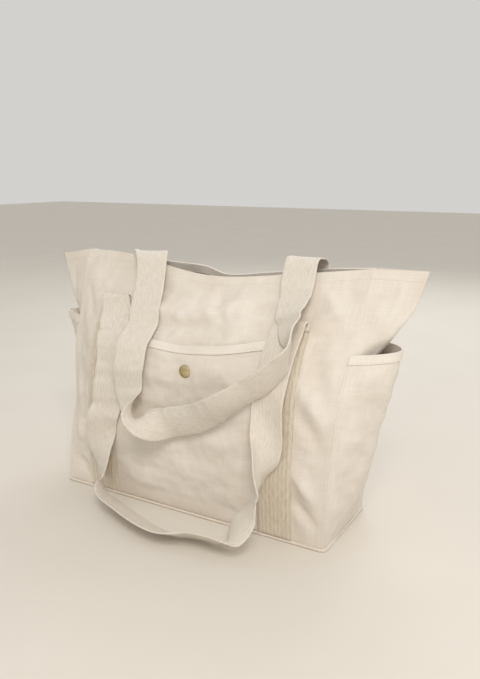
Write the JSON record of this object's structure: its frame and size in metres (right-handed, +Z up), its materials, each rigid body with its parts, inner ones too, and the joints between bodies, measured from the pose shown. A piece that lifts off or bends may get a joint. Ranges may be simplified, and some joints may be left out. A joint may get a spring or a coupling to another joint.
{
  "type": "tote bag",
  "caption": "Boxy natural canvas tote with webbing handles, a snapped front pocket and open side pockets on the gussets.",
  "frame": {"origin": "on the floor under the middle of the base", "axes": "+X across the bag's width to the right seen from the front, -Y to the front with the snapped pocket, +Z up"},
  "size_m": [0.4956, 0.1902, 0.2961],
  "materials": {
    "canvas": "undyed plain-weave cotton canvas",
    "hem_canvas": "folded canvas hem, topstitched",
    "webbing": "natural cotton herringbone webbing",
    "snap_brass": "antique brass plated snap"
  },
  "bodies": {
    "root": {"front_panel": "canvas", "back_panel": "canvas", "front_rim_hem": "hem_canvas", "back_rim_hem": "hem_canvas", "left_gusset": "canvas", "right_gusset": "canvas", "bottom_panel": "canvas", "base_piping": "hem_canvas", "snap_stud": "snap_brass", "snap_post": "snap_brass", "front_left_webbing": "webbing", "front_right_webbing": "webbing", "back_left_webbing": "webbing", "back_right_webbing": "webbing"},
    "front_pocket_body": {"front_pocket": "canvas", "front_pocket_hem": "hem_canvas", "snap_cap": "snap_brass", "snap_socket": "snap_brass"},
    "left_pocket_body": {"left_pocket": "canvas", "left_pocket_hem": "hem_canvas"},
    "right_pocket_body": {"right_pocket": "canvas", "right_pocket_hem": "hem_canvas"},
    "back_handle_crossing": {"back_handle_left_crossing": "webbing", "back_handle_right_crossing": "webbing"},
    "back_handle": {"back_handle_loop": "webbing"},
    "front_handle": {"front_handle_loop": "webbing"}
  },
  "joints": [
    {"name": "back_handle_lift", "type": "hinge", "parent": "root", "child": "back_handle_crossing", "pos_m": [0, 0.0355, 0.289], "axis": [-1, 0, 0], "range_deg": [0, 90]},
    {"name": "back_handle_unfold", "type": "hinge", "parent": "back_handle_crossing", "child": "back_handle", "pos_m": [0, -0.004, 0.291], "axis": [-1, 0, 0], "range_deg": [0, 90]},
    {"name": "front_handle_lift", "type": "hinge", "parent": "root", "child": "front_handle", "pos_m": [0, -0.0346, 0.2385], "axis": [-1, 0, 0], "range_deg": [0, 162]},
    {"name": "front_pocket_mouth", "type": "hinge", "parent": "root", "child": "front_pocket_body", "pos_m": [0, -0.061, 0.005], "axis": [1, 0, 0], "range_deg": [0, 1.5], "stiffness_Nm_per_rad": 0.3},
    {"name": "left_pocket_mouth", "type": "hinge", "parent": "root", "child": "left_pocket_body", "pos_m": [-0.1795, 0, 0.0055], "axis": [0, -1, 0], "range_deg": [0, 5], "stiffness_Nm_per_rad": 0.3},
    {"name": "right_pocket_mouth", "type": "hinge", "parent": "root", "child": "right_pocket_body", "pos_m": [0.1795, 0, 0.0055], "axis": [0, 1, 0], "range_deg": [0, 5], "stiffness_Nm_per_rad": 0.3}
  ],
  "couplings": [
    {"joint": "back_handle_unfold", "follows": "back_handle_lift", "ratio": 1},
    {"joint": "front_handle_lift", "follows": "back_handle_lift", "ratio": 1.8}
  ]
}
